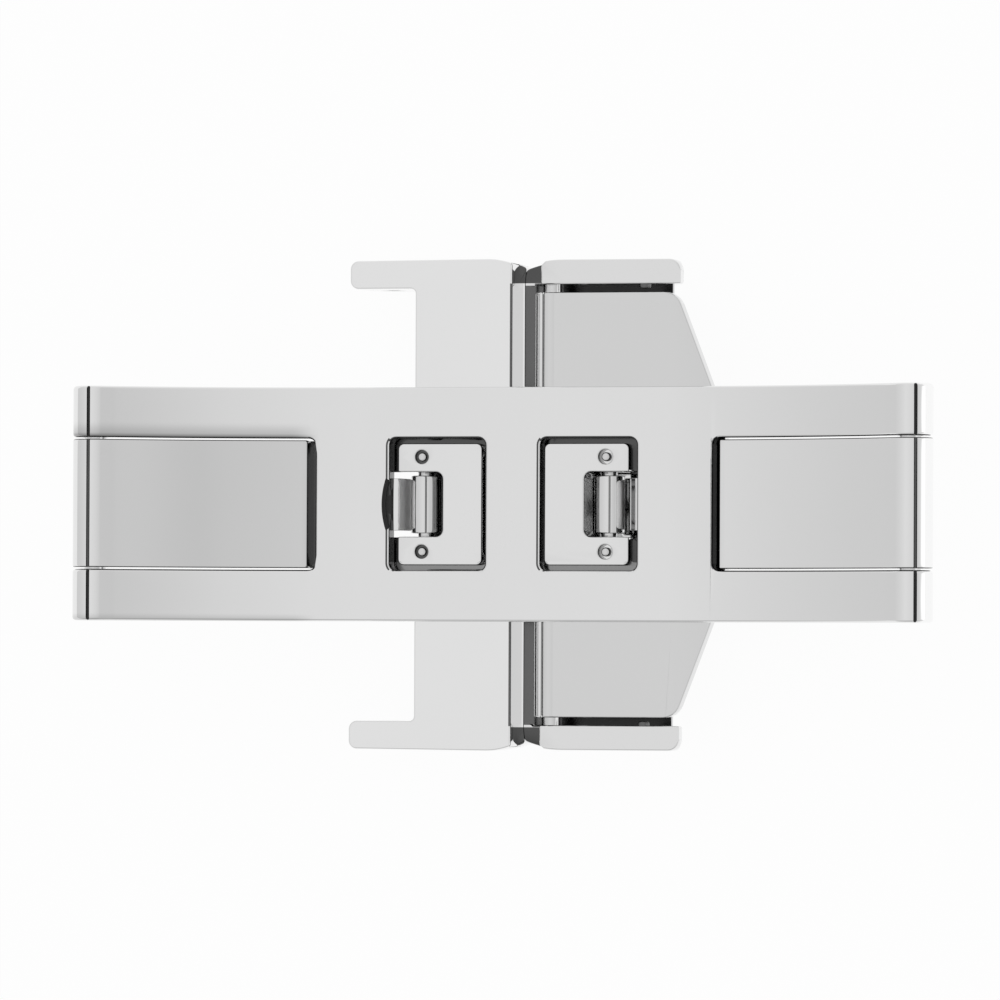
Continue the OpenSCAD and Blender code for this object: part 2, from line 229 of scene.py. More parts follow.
def arc(centre, radius, first, last, steps):
    """Points of an arc between two angles in degrees."""
    angles = [math.radians(first + (last - first) * i / steps) for i in range(steps + 1)]
    return [(centre[0] + radius * math.cos(a), centre[1] + radius * math.sin(a)) for a in angles]


def bent(angle, depth):
    """A point on the bent end, at an angle and a depth below the wrist face."""
    a = math.radians(angle)
    return flat_half + (curve_r + depth) * math.sin(a), curve_r - (curve_r + depth) * math.cos(a)


def prism(outline, low, high, facing, ribs=()):
    """An outline drawn in the plane that faces X, Y or Z, extruded from low to high.

    Ribs join pairs of its corners, so that no face grows too large to stay even.
    """
    order = {"X": (2, 0, 1), "Y": (0, 2, 1), "Z": (0, 1, 2)}[facing]
    bm = bmesh.new()
    corners = [bm.verts.new([(u, v, low)[i] for i in order]) for u, v in outline]
    bm.faces.new(corners)
    for first, last in ribs:
        bmesh.ops.connect_verts(bm, verts=[corners[first], corners[last]])
    grown = bmesh.ops.extrude_face_region(bm, geom=bm.faces[:])["geom"]
    moved = [v for v in grown if isinstance(v, bmesh.types.BMVert)]
    bmesh.ops.translate(bm, verts=moved, vec=[(0, 0, high - low)[i] for i in order])
    bmesh.ops.recalc_face_normals(bm, faces=bm.faces)
    return bm


def rod(radius, low, high, centre, facing, edge=0.0, segments=48):
    """A round bar along Y or Z between low and high, its ends rounded by edge."""
    bm = bmesh.new()
    length = high - low
    bmesh.ops.create_cone(bm, cap_ends=True, segments=segments, radius1=radius, radius2=radius, depth=length)
    if edge:
        rims = [e for e in bm.edges if abs(e.verts[0].co.z - e.verts[1].co.z) < 1e-6]
        bmesh.ops.bevel(bm, geom=rims, offset=edge, offset_type="OFFSET", segments=3,
                        profile=0.5, affect="EDGES", material=-1)
    if facing == "Y":
        bmesh.ops.rotate(bm, verts=bm.verts, matrix=Matrix.Rotation(math.radians(90), 3, "X"))
    middle = (low + high) / 2
    shift = {"Y": (centre[0], middle, centre[1]), "Z": (centre[0], centre[1], middle)}[facing]
    bmesh.ops.translate(bm, verts=bm.verts, vec=shift)
    return bm


def thing(name, bm):
    """Makes an object of a bmesh that is drawn in millimetres below the wrist face."""
    mesh = bpy.data.meshes.new(name)
    bm.to_mesh(mesh)
    bm.free()
    made = bpy.data.objects.new(name, mesh)
    bpy.context.scene.collection.objects.link(made)
    return made


def settle(made):
    """Makes what an object's modifiers show its own mesh."""
    graph = bpy.context.evaluated_depsgraph_get()
    result = bpy.data.meshes.new_from_object(made.evaluated_get(graph))
    made.modifiers.clear()
    made.data = result


def combine(made, bm, operation):
    """Cuts a bmesh from an object, joins it on, or keeps what both share."""
    tool = thing("tool", bm)
    step = made.modifiers.new("step", "BOOLEAN")
    step.operation = operation
    step.solver = "EXACT"
    step.object = tool
    settle(made)
    bpy.data.objects.remove(tool)


def divide(made, **planes):
    """Divides an object's large flat faces along planes across X, Y and Z."""
    bm = bmesh.new()
    bm.from_mesh(made.data)
    for facing, places in planes.items():
        across_cut = Vector([facing == letter for letter in "xyz"])
        for at in places:
            bmesh.ops.bisect_plane(bm, geom=bm.verts[:] + bm.edges[:] + bm.faces[:],
                                   plane_co=across_cut * at, plane_no=across_cut)
    bm.to_mesh(made.data)
    bm.free()


merge_within = 0.002
rounded_from = math.radians(30)  # faces that meet more sharply than this get a rounded edge
creased_from = math.radians(50)  # and their shading breaks from here


def polish(made, edge, grooves=(), crisp=None):
    """Rounds a piece's outer edges, scores grooves in it and sets it in its place, evenly shaded.

    Inner corners stay crisp, as a polishing wheel can't reach them, and so do the named edges.
    """
    bm = bmesh.new()
    bm.from_mesh(made.data)
    bmesh.ops.remove_doubles(bm, verts=bm.verts, dist=merge_within)
    bmesh.ops.recalc_face_normals(bm, faces=bm.faces)
    weight = bm.edges.layers.float.new("bevel_weight_edge")
    for line in bm.edges:
        if line.is_convex and line.calc_face_angle(0) > rounded_from:
            line[weight] = not (crisp and all(crisp(v.co) for v in line.verts))
    bm.to_mesh(made.data)
    bm.free()
    if edge:
        rounding = made.modifiers.new("rounding", "BEVEL")
        rounding.width = edge
        rounding.segments = 3
        rounding.limit_method = "WEIGHT"
        rounding.use_clamp_overlap = False
        settle(made)
    for groove in grooves:
        combine(made, groove, "DIFFERENCE")
    made.data.transform(Matrix.Translation((0, 0, stack_height * mm)) @ Matrix.Scale(mm, 4))
    made.data.shade_smooth()
    made.data.set_sharp_from_angle(angle=creased_from)
    shine = made.modifiers.new("shine", "WEIGHTED_NORMAL")
    shine.weight = 50
    shine.keep_sharp = True


def give_faces_steel(made, where, steel):
    """Gives some faces of a piece another steel: the sawn ends of the hooks, which no polishing wheel
    reaches, and painted shade or painted dark lines on the rest.
    """
    made.data.materials.append(steel.material)
    slot_number = len(made.data.materials) - 1
    corners = [v.co / mm - Vector((0, 0, stack_height)) for v in made.data.vertices]
    for face in made.data.polygons:
        if all(where(corners[v], face.normal) for v in face.vertices):
            face.material_index = slot_number


def mirrored(bm):
    """The same shape on the other side of the middle, turned the right way out again."""
    twin = bm.copy()
    bmesh.ops.scale(twin, verts=twin.verts, vec=(-1, 1, 1))
    bmesh.ops.reverse_faces(twin, faces=twin.faces)
    return twin


def rounded_rect(x0, x1, y0, y1, r, steps=6):
    """An outline with round corners."""
    return (arc((x1 - r, y1 - r), r, 0, 90, steps) + arc((x0 + r, y1 - r), r, 90, 180, steps)
            + arc((x0 + r, y0 + r), r, 180, 270, steps) + arc((x1 - r, y0 + r), r, 270, 360, steps))


def barrel_meets(depth):
    """Angle on the bend at which the hinge barrel crosses a depth below the wrist face."""
    reach = curve_r + barrel_r - barrel_proud
    ring = curve_r + depth
    share = (reach ** 2 + ring ** 2 - barrel_r ** 2) / (2 * reach * ring)
    return hinge_angle - math.degrees(math.acos(share))


def bend(depth, first, last, steps=arc_steps):
    """Points along the bend at one depth."""
    return [bent(first + (last - first) * i / steps, depth) for i in range(steps + 1)]


hinge_at = bent(hinge_angle, barrel_r - barrel_proud)


def arm_end(bottom):
    """Round the barrel from the bend's wrist face to the underside."""
    last = math.degrees(math.atan2(bottom[1] - hinge_at[1], bottom[0] - hinge_at[0]))
    return arc(hinge_at, barrel_r - 0.001, 90 + hinge_angle - 4, last % 360 - 360, barrel_steps)[:-1]


def on_rim(centre, radius, turned_out):
    """A point on a barrel or roller, so many degrees from its top towards the clamp side."""
    angle = math.radians(turned_out)
    return centre[0] + radius * math.sin(angle), centre[1] + radius * math.cos(angle)


def seam_line(sign):
    """Where a thin groove along a barrel is painted black as a dark line of shade."""
    x, z = on_rim(hinge_at, barrel_r, left_seam if sign < 0 else right_seam)
    return sign * x, z


def seam(sign):
    """What is scored out of a barrel along that line."""
    return rod(seam_r, -past_side, past_side, seam_line(sign), "Y", segments=24)


underside = barrel_meets(plate_t)
half_plate = bend(0, 0, bend_end) + arm_end(bent(underside, plate_t)) + bend(plate_t, underside, 0)
last = len(half_plate) - 1
whole = 2 * len(half_plate) - 1
steps_to_crease = 17
barrel_point = arc_steps + 1 + steps_to_crease  # the one opposite the crease under the barrel
ribs = [(i, last - i) for i in range(arc_steps + 1)] + [(barrel_point, last - arc_steps)]
ribs += [(whole - first, whole - second) for first, second in ribs]
plate = thing("base_plate_polished", prism(
    half_plate + [(-x, z) for x, z in reversed(half_plate)], -plate_w / 2, plate_w / 2, "Y", ribs))
window = prism(rounded_rect(window_in, window_out, -window_w / 2, window_w / 2, window_corner),
               under_plate, over_plate, "Z")
right_start = slot_start + right_wing_shift
slot = prism(rounded_rect(right_start, past_end, -slot_w / 2, slot_w / 2, slot_corner),
             under_plate, over_ends, "Z")
left_slot = prism(rounded_rect(-past_end, -slot_start, -slot_w / 2, slot_w / 2, slot_corner),
                  under_plate, over_ends, "Z")
pin_bore = rod(pin_r, -past_side, past_side, hinge_at, "Y")
scoop = prism(arc((window_out + scoop_reach - scoop_r, 0), scoop_r, -scoop_angle, scoop_angle, 16),
              -scoop_depth, 0.3, "Z")
for corner in scoop.verts:
    corner.co.x += scoop_slope * corner.co.z
divide(plate, x=(-window_middle, 0, window_middle))
for cutter in (mirrored(window), window, left_slot, slot, mirrored(pin_bore), pin_bore, mirrored(scoop)):
    combine(plate, cutter, "DIFFERENCE")
polish(plate, plate_edge, grooves=[seam(-1), seam(1)])


cloud_scale = 180.0  # how fine each pattern is, per metre
hairline_scale = 9000.0
speck_scale = 2600.0
mean_shade = 0.985
cloud_shade = 0.03
speck_roughness = 0.05
smear_roughness = 0.02


class Steel:
    """Bright stainless steel with the marks that handling and polishing leave.

    dim lists the stretches that are painted darker as shade, or lighter as a painted highlight
    where their loss is below 0. Each has its loss and then its bounds: an axis, where the loss
    begins and where it is full, in mm.
    """

    def __init__(self, name, tone, roughness, ripple, ripple_size, hairlines=0.0, along=(1, 1, 1), dim=()):
        self.material = bpy.data.materials.new(name)
        self.material.use_nodes = True
        tree = self.material.node_tree
        shader = tree.nodes["Principled BSDF"]
        shader.inputs["Metallic"].default_value = 1
        wire = Wire(tree, None)
        spot = wire.node("TexCoord", output=3)
        cloud = wire.node("TexNoise", Vector=spot, Scale=cloud_scale, Detail=3.0)
        fine = wire.node("Mapping", Vector=spot, Scale=along)
        lines = wire.node("TexNoise", Vector=fine, Scale=hairline_scale, Detail=2.0)
        speck = wire.node("TexNoise", Vector=spot, Scale=speck_scale, Detail=4.0)
        shade = mean_shade + cloud_shade * (cloud - 0.5)
        for loss, *bounds in dim:
            for axis, near, far in bounds:
                loss = loss * smooth(wire.node("SeparateXYZ", i0=spot, output=axis), near * mm, far * mm)
            shade = shade * (1 - loss)
        grey = wire.node("CombineColor", i0=tone * shade, i1=tone * shade, i2=tone * shade)
        tree.links.new(grey.socket, shader.inputs["Base Color"])
        specks = speck_roughness * smooth(speck, 0.62, 0.8)
        smears = smear_roughness * smooth(cloud, 0.45, 0.7)
        rough = roughness + specks + smears
        tree.links.new(rough.socket, shader.inputs["Roughness"])
        wave = wire.node("TexNoise", Vector=spot, Scale=ripple_size, Detail=1.0)
        relief = wave * ripple + lines * hairlines
        bump = wire.node("Bump", Strength=1.0, Distance=1.0, Height=relief)
        tree.links.new(bump.socket, shader.inputs["Normal"])


def clad(made, steel):
    """Makes a whole piece of one steel."""
    made.data.materials.clear()
    made.data.materials.append(steel.material)


def wall(spot, normal):
    """Walls of the windows and slots, painted dark as shade, up to a dark line painted where their rounded
    edges begin.

    Edges that look towards the clamp half keep a polished line below it.
    """
    in_window = abs(spot.x) < window_zone
    at_end = in_window or slot_end[0] < abs(spot.x) < slot_end[1]
    if at_end and min(normal.x, normal.y) < -0.3:
        steepest = 0.95
    elif at_end and normal.x > 0.2:
        steepest = 0.5
    else:
        steepest = 0.35 if in_window else 0.6
    first_line = in_window and 0.2 < normal.x < 0.35
    low = abs(normal.z) < steepest or first_line
    return low and abs(spot.x) < wall_zone[0] and abs(spot.y) < wall_zone[1]


def slot_rim(spot, normal):
    """The rounded edge at the clamp side's slot end, painted mid-grey as shade."""
    at_end = slot_end[0] < spot.x < slot_end[1]
    return at_end and normal.x > 0.1 and 0.5 < normal.z < 0.98 and abs(spot.y) < slot_w / 2


def in_scoop(spot, normal):
    """The hollow beside the lug side's hook, painted black as shade."""
    along_wall = -scoop_zone[0] < spot.x < -window_out + 0.02 and abs(spot.y) < scoop_zone[1]
    return along_wall and spot.z > -scoop_depth - 0.02 and normal.z < 0.985


def in_seam(spot, normal):
    """The lines scored along the barrels, painted dark as a line of shade."""
    return min(math.dist((spot.x, spot.z), seam_line(sign)) for sign in (-1, 1)) < seam_r + 0.01


# Darker copies of the steel, painted on faces as shade and dark lines, from mid-grey to near black.
half_shade_steel = Steel("half_shade_steel", tone=0.3, roughness=0.15, ripple=8e-6, ripple_size=1500.0)
shaded_steel = Steel("shaded_steel", tone=0.1, roughness=0.15, ripple=2e-6, ripple_size=900.0)
deep_shade_steel = Steel("deep_shade_steel", tone=0.035, roughness=0.2, ripple=4e-6, ripple_size=900.0)
dark_shade_steel = Steel("dark_shade_steel", tone=0.15, roughness=0.25, ripple=8e-6, ripple_size=1500.0)
# Painted shade darkens the lug side's arm beside the slot's back edge and along its front edge, and a
# painted highlight lightens the clamp side's barrel end.
mirror_steel = Steel("mirror_steel", tone=0.82, roughness=0.035, ripple=6e-6, ripple_size=130.0,
                     dim=[(-0.17, (0, 17.9, 18.15)), (0.28, (0, -8.3, -9.6), (1, 3.5, 2.9), (1, 0, 1)),
                          (0.4, (0, -8.3, -9.6), (1, 3.0, 2.85), (1, 0, 1)),
                          (0.2, (0, -8.3, -9.6), (1, -4.6, -4.9))])
clad(plate, mirror_steel)
give_faces_steel(plate, wall, shaded_steel)
give_faces_steel(plate, slot_rim, half_shade_steel)
give_faces_steel(plate, in_seam, deep_shade_steel)
give_faces_steel(plate, in_scoop, deep_shade_steel)
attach(plate, "base")
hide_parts("base_plate")

sawn_steel = Steel("sawn_steel", tone=0.95, roughness=0.5, ripple=1.2e-5, ripple_size=2500.0,
                   hairlines=4e-6, along=(0.15, 1, 1))
hook_end = [(hook_face + 0.06, -0.33), (hook_face, -0.4), (hook_nose, -1.6), (hook_nose, -1.69),
            (hook_nose + 0.06, -hook_depth), (window_out - 0.1, -hook_depth), (window_out + 0.05, -plate_t)]
hollowed = [(window_out + 0.6, -plate_t + 0.05), (window_out + 0.6, -0.55), (window_out + 0.1, -0.46),
            (window_out - 0.12, -0.33)]
flowing = [(window_out + 0.2, -plate_t + 0.05), (window_out + 0.2, -0.02), (window_out + 0.1, -0.03),
           (window_out, -0.07), (window_out - 0.1, -0.15), (window_out - 0.2, -0.24),
           (window_out - 0.3, -0.31)]
for side_name, turned, root in (("left", True, hollowed), ("right", False, flowing)):
    hook = prism(root + hook_end, -hook_w / 2, hook_w / 2, "Y")
    made = thing(side_name + "_hook", mirrored(hook) if turned else hook)
    polish(made, hook_edge)
    clad(made, mirror_steel)
    give_faces_steel(made, lambda spot, normal: abs(spot.x) < hook_face + 0.02, sawn_steel)
    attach(made, "base")


# Hinge pins of the two leaves.
# Drawn steel rods, cut to length, pressed through the fork ends and dressed flush with them.
drawn_steel = Steel("drawn_steel", tone=0.72, roughness=0.07, ripple=1e-6, ripple_size=600.0,
                    hairlines=6e-7, along=(1, 0.05, 1))


def pin(name, bm, body, *nodes, edge=0.0):
    """Finishes a pin and sets it on its body in place of its node."""
    made = thing(name, bm)
    polish(made, edge)
    clad(made, drawn_steel)
    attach(made, body)
    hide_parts(*nodes)
    return made


pin_length = plate_w - 0.06
for side_name, sign in (("left", -1), ("right", 1)):
    place_at = (sign * hinge_at[0], hinge_at[1])
    pin(side_name + "_hinge_rod", rod(pin_r, -pin_length / 2, pin_length / 2, place_at, "Y", edge=0.08),
        "base", side_name + "_hinge_pin")


# The two leaves.
# Each is cut from thicker strip: a polished pad that fills the slot, a step down to a thin web
# under the plate, and a block with a square cut-out that stands up into the window.
leaf_w = 5.41
leaf_edge = 0.075
pad_start = 8.88
fold_gap = 0.1
web_t = 0.75
web_w = 6.2
web_top = plate_t + fold_gap
web_bottom = web_top + web_t
block_in = 1.35
block_out = 5.0
block_w = 5.14
block_drop = 0.15
cut_in = 3.06
cut_w = 2.74
cut_corner = 0.3
hook_room = 0.15  # beside the hooks, and the radius of the corners there
bore_gap = 0.03
roller_x = 3.98
roller_depth = 1.0
catch_pin_r = 0.35
lock_y = 2.0
lock_r = 0.22
joggle_in = 15
joggle_out = 19.5
over_leaf = 1
past_leaf = 4
strap_plate_w = 17.94
strap_reach = 7.05
strap_bend = 12  # degrees of the arch that the strap plate follows
past_cover = 12
blank_t = 6  # thickness that the strap plate and the covers are cut from
knuckle_x = 1.3
knuckle_r = 0.78
knuckle_z = 0.03 - web_top - knuckle_r
clamp_pin_r = 0.36
knuckle_seam_turn = -21
line_r = 0.035
line_zone = 0.045
shoulder_x = 8.36
shoulder_run = 0.62


def leaf_cuts(ring=0.07, ring_depth=0.24):
    """What is cut out of the right leaf: roller slot, hook clearance, and the pins' bores and rings."""
    half_hook = hook_w / 2 + hook_room
    return [prism(rounded_rect(cut_in, block_out + 1, -cut_w / 2, cut_w / 2, cut_corner),
                  under_plate, over_leaf, "Z"),
            prism(rounded_rect(block_out - 0.3, window_out + 0.4, -half_hook, half_hook, hook_room),
                  under_plate, over_leaf, "Z"),
            rod(catch_pin_r, -lock_y, lock_y, (roller_x, -roller_depth), "Y", segments=32),
            rod(lock_r + ring, -block_drop - ring_depth, over_leaf, (roller_x, lock_y), "Z", segments=32),
            rod(lock_r + ring, -block_drop - ring_depth, over_leaf, (roller_x, -lock_y), "Z", segments=32),
            rod(pin_r + bore_gap, -past_leaf, past_leaf, hinge_at, "Y")]


def leaf_outline(start):
    """The side view of a leaf whose pad starts there, without its block."""
    pad_angle = math.degrees((start - flat_half) / curve_r)
    return (bend(0, pad_angle, bend_end, 32) + arm_end(bent(underside, plate_t))
            + bend(plate_t, underside, joggle_out, 20) + bend(web_bottom, joggle_in, 0, 20)
            + [(block_in, -web_bottom), (block_in, -web_top)] + bend(web_top, 0, pad_angle, 10))


def leaf_parts():
    """The right leaf's block, and the broad part of its web under the window."""
    outline = rounded_rect(block_in, block_out, -block_w / 2, block_w / 2, 0.25)
    web_outline = rounded_rect(block_in, flat_half, -web_w / 2, web_w / 2, 0.05)
    return [prism(outline, -web_top - 0.3, -block_drop, "Z"),
            prism(web_outline, -web_bottom, -web_top, "Z")]


foot_in = 0.75
foot_out = 4.25
foot_w = 8.8
foot_corner = 0.5
rivet_head_r = 0.62
rivet_head_t = 0.25
rivet_y = 3.45
rivet_spots = [(x, y) for x in (-1.75, -3.45) for y in (-rivet_y, rivet_y)]
left_leaf = thing("left_leaf_polished",
                  mirrored(prism(leaf_outline(pad_start), -leaf_w / 2, leaf_w / 2, "Y")))
for part in leaf_parts():
    combine(left_leaf, mirrored(part), "UNION")
combine(left_leaf, prism(rounded_rect(-foot_out, -foot_in, -foot_w / 2, foot_w / 2, foot_corner),
                         -web_bottom, -web_top, "Z"), "UNION")
divide(left_leaf, x=(-5.55, -roller_x, -1.75, -3.45),
       y=(-rivet_y, -web_w / 2, -2.43, -lock_y, lock_y, web_w / 2, rivet_y))
for cutter in leaf_cuts():
    combine(left_leaf, mirrored(cutter), "DIFFERENCE")
for spot in rivet_spots:
    combine(left_leaf, rod(rivet_head_r, -web_top - rivet_head_t, 0, spot, "Z", segments=32), "DIFFERENCE")
polish(left_leaf, leaf_edge, grooves=[seam(-1)])
# The leaf is painted darker as shade from its barrel end inwards, and lighter again as a painted highlight
# on its block.
left_leaf_steel = Steel("left_leaf_steel", tone=0.81, roughness=0.035, ripple=5e-6, ripple_size=120.0,
                        dim=[(0.15, (0, -16.5, -13.0)), (-0.2, (0, -6.0, -5.9))])
clad(left_leaf, left_leaf_steel)


def inside(spot, normal):
    """Leaf faces down in the windows, round the lock pins and at the slots' ends, painted dark as shade."""
    at_pin = math.hypot(abs(spot.x) - roller_x, abs(spot.y) - lock_y) < lock_r + 0.13
    ring = at_pin and spot.z < -block_drop - 0.05 and (spot.x < 0 or abs(normal.z) < 0.4)
    under_window = spot.z < -1.0 and 1.0 < abs(spot.x) < 5.56 and spot.y > -2.45
    under_slot = spot.z < -0.8 and abs(spot.x) > 7.7
    deep = normal.z > 0.7 and (under_window or under_slot)
    return (ring or deep) and abs(spot.x) < 9.0 and abs(spot.y) < web_w / 2 + 0.05


def lit_inside(spot, normal):
    """The web along the windows' front edges and the rollers' cut-outs, where some light falls in, painted
    mid-grey as half shade.
    """
    floor = spot.z < -1.0 and abs(normal.z) > 0.8 and 1.0 < abs(spot.x) < 5.56 and -3.11 < spot.y < -2.4
    cut_out = spot.z < -block_drop - 0.03 and 2.9 < abs(spot.x) < 5.2 and abs(spot.y) < cut_w / 2 + 0.02
    return floor or cut_out


def pad_edge(spot, normal):
    """The pad's edges and the gap at its inner end, painted dark as shade."""
    at_side = leaf_w / 2 - 0.07 < abs(spot.y) < leaf_w / 2 + 0.01
    side = at_side and abs(normal.y) > 0.15 and abs(spot.x) > 8.7
    end = slot_end[0] < abs(spot.x) < pad_start + 0.27 and abs(spot.y) < leaf_w / 2 + 0.01
    steepest = 0.9 if spot.x < 0 else 0.5
    low = abs(normal.y) < 0.5 and (normal.z < steepest or spot.z < -0.5)
    return side or end and low or in_seam(spot, normal)


def pad_wall(spot, normal):
    """The upright inner end of the lug side's pad, painted mid-grey as half shade."""
    return -9.1 < spot.x < -8.8 and abs(spot.y) < leaf_w / 2 and normal.x > 0.9 and abs(normal.z) < 0.3


give_faces_steel(left_leaf, inside, shaded_steel)
give_faces_steel(left_leaf, lit_inside, half_shade_steel)
give_faces_steel(left_leaf, pad_edge, shaded_steel)
give_faces_steel(left_leaf, pad_wall, half_shade_steel)
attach(left_leaf, "left_wing")
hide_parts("left_leaf")

# The right leaf widens under the plate into the strap plate, whose inner edge is rolled
# round the clamp half's hinge pin; the peg for the strap holes is pressed into it.
corner_r = 0.8
corner_at = (strap_reach - corner_r, strap_plate_w / 2 - corner_r)
half_shape = ([(knuckle_x, strap_plate_w / 2)] + list(reversed(arc(corner_at, corner_r, 20, 90, 6)))
              + [(shoulder_x, plate_w / 2), (shoulder_x + shoulder_run, leaf_w / 2)])
strap_shape = half_shape + [(x, -y) for x, y in reversed(half_shape)]
right_leaf = thing("right_leaf_polished",
                   prism(leaf_outline(pad_start + right_wing_shift), -leaf_w / 2, leaf_w / 2, "Y"))
for part in leaf_parts():
    combine(right_leaf, part, "UNION")
strap_plate = thing("strap_plate", prism(strap_shape, -blank_t, blank_t, "Z"))
web_outline = ([(knuckle_x, -web_top)] + bend(web_top, 0, strap_bend, 12)
               + bend(web_bottom, strap_bend, 0, 12) + [(knuckle_x, -web_bottom)])
combine(strap_plate, prism(web_outline, -past_cover, past_cover, "Y"), "INTERSECT")
bm = bmesh.new()
bm.from_mesh(strap_plate.data)
bpy.data.objects.remove(strap_plate)
combine(right_leaf, bm, "UNION")
half_knuckle = strap_plate_w / 2
knuckle_at = (knuckle_x, knuckle_z)
combine(right_leaf, rod(knuckle_r, -half_knuckle, half_knuckle, knuckle_at, "Y"), "UNION")
knuckle_seam = on_rim(knuckle_at, knuckle_r, knuckle_seam_turn)
combine(right_leaf, rod(line_r, -past_cover, past_cover, knuckle_seam, "Y", segments=12), "DIFFERENCE")
divide(right_leaf, x=(roller_x, 5.55), y=(-web_w / 2, -2.43, -lock_y, lock_y, web_w / 2))
for cutter in leaf_cuts(ring=0.09, ring_depth=0.45):
    combine(right_leaf, cutter, "DIFFERENCE")
combine(right_leaf, rod(clamp_pin_r + bore_gap, -past_cover, past_cover, knuckle_at, "Y", segments=32),
        "DIFFERENCE")
polish(right_leaf, leaf_edge, grooves=[seam(1)])
# The strap plate beyond the long plate's sides is painted darker as shade; the barrel end and the rolled
# knuckle's edge are painted lighter as highlights.
right_leaf_steel = Steel("right_leaf_steel", tone=0.82, roughness=0.035, ripple=7e-6, ripple_size=100.0,
                         dim=[(0.13, (1, 3.0, 4.9)), (0.13, (1, -3.0, -4.9)), (-0.17, (0, 17.9, 18.15)),
                              (-0.2, (0, 1.12, 1.02))])
clad(right_leaf, right_leaf_steel)


def scored(line):
    """Picks the faces of a thin line scored along Y at that place, which get painted darker."""
    return lambda spot, normal: math.dist((spot.x, spot.z), line) < line_zone


give_faces_steel(right_leaf, inside, shaded_steel)
give_faces_steel(right_leaf, lit_inside, half_shade_steel)
give_faces_steel(right_leaf, pad_edge, shaded_steel)
# The knuckle's groove is painted darker as a line of shade.
give_faces_steel(right_leaf, scored(knuckle_seam), half_shade_steel)
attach(right_leaf, "right_wing")
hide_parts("right_leaf")


# Lug half of the cover.
# A solid milled block with a flat outer face, two lugs for the spring bar, and a pocket
# for the left leaf's foot; its edges are buffed round.
cover_w = 20.8
cover_depth = 4.55
cover_edge = 0.09
split_inset = 0.45  # how far the cover's sides draw in at the split
side_inset = 0.05  # and at the lugs' tips and the ears
flank_r = 3.0
belly_r = 2.2
groove_corner = 0.05
lug_reach = 7.4
body_reach = 4.55
lug_gap = 18.3
bar_r = 0.5
bar_at = (-5.95, -2.95)
ledge_depth = 2.2
ledge_in = 0.32
notch_y = 9.4
half_channel = 9.3
floor_top = -cover_depth + 0.8
split_gap = 0.015
tip_r = 0.35
pocket = 0.02
rivet_r = 0.4
rivet_reach = 2.1
lug_half = ([(-split_gap, cover_w / 2 - split_inset)]
            + arc((-1.4, cover_w / 2 - flank_r), flank_r, 62, 90, 10)
            + arc((-lug_reach + tip_r, cover_w / 2 - side_inset - tip_r), tip_r, 90, 180, 8)
            + arc((-lug_reach + tip_r, lug_gap / 2 + tip_r), tip_r, 180, 270, 8)
            + arc((-body_reach - 0.2, lug_gap / 2 - 0.2), 0.2, 90, 0, 6))
lug_side = ([(0, -web_top), (0, -cover_depth)]
            + arc((-4.9, -cover_depth + belly_r), belly_r, 270, 195, 20)
            + [(-lug_reach - 0.2, -web_top - 0.05), (-lug_reach - 0.2, -web_top)])


def front_outline(top):
    """The cover seen along the strap: round lower edges, flat top."""
    reach = cover_w / 2 + 0.05
    lower_r = 0.8
    half = arc((reach - lower_r, -cover_depth + lower_r), lower_r, 270, 360, 12) + [(reach, top)]
    return half + [(-y, z) for y, z in reversed(half)]


def notch():
    """The sloping notch cut at one end of the split, which both halves share."""
    return prism([(notch_y - 0.2, 1), (notch_y - 0.2, -ledge_depth), (notch_y, -ledge_depth),
                  (cover_w / 2 + 0.3, -ledge_depth - 0.45), (cover_w / 2 + 0.3, 1)], -ledge_in, 0.95, "X")


def at_split(spot):
    """The edges of the straight split, which stay crisp."""
    return abs(spot.x) < split_gap + 0.005 and spot.z > -3


def notches():
    """Both notches."""
    other = notch()
    bmesh.ops.scale(other, verts=other.verts, vec=(1, -1, 1))
    bmesh.ops.reverse_faces(other, faces=other.faces)
    return [notch(), other]


lugs = thing("lug_cover_polished",
             prism(lug_half + [(x, -y) for x, y in reversed(lug_half)], -blank_t, 0, "Z"))
combine(lugs, prism(lug_side, -past_cover, past_cover, "Y"), "INTERSECT")
combine(lugs, prism(front_outline(-web_top), -past_cover, 3, "X"), "INTERSECT")
half_foot = foot_w / 2 + pocket
half_web = web_w / 2 + pocket
for cutter in notches() + [
        prism(rounded_rect(-ledge_in, 3, -notch_y, notch_y, groove_corner), -ledge_depth, 1, "Z"),
        prism(rounded_rect(-foot_out - pocket, -foot_in + pocket, -half_foot, half_foot, foot_corner),
              -web_bottom, 0, "Z"),
        prism(rounded_rect(-6, -2, -half_web, half_web, groove_corner), -web_bottom, 0, "Z"),
        prism(rounded_rect(-6, -cut_in + 0.1, -cut_w / 2, cut_w / 2, cut_corner), -roller_depth - 1, 0, "Z"),
        rod(bar_r, -past_cover, past_cover, bar_at, "Y")]:
    combine(lugs, cutter, "DIFFERENCE")
polish(lugs, cover_edge, crisp=at_split)
cover_steel = Steel("cover_steel", tone=0.86, roughness=0.035, ripple=6e-6, ripple_size=110.0)
clad(lugs, cover_steel)


def in_notch(spot, normal):
    """The faces of the notches at the ends of the split, painted dark as shade."""
    return (abs(spot.y) > notch_y - 0.25 and -ledge_in - 0.05 < spot.x < 1.7 and 0.1 < abs(normal.z) < 0.97
            and -3 < spot.z < -web_top - 0.02)


def beside_strap(spot, normal):
    """The clamp half's floor beside the strap plate, which lies in the deepest shade."""
    at_floor = -cover_depth + 0.5 < spot.z < floor_top + 0.01
    return at_floor and spot.x > 1.2 and 8.85 < abs(spot.y) < half_channel + 0.01


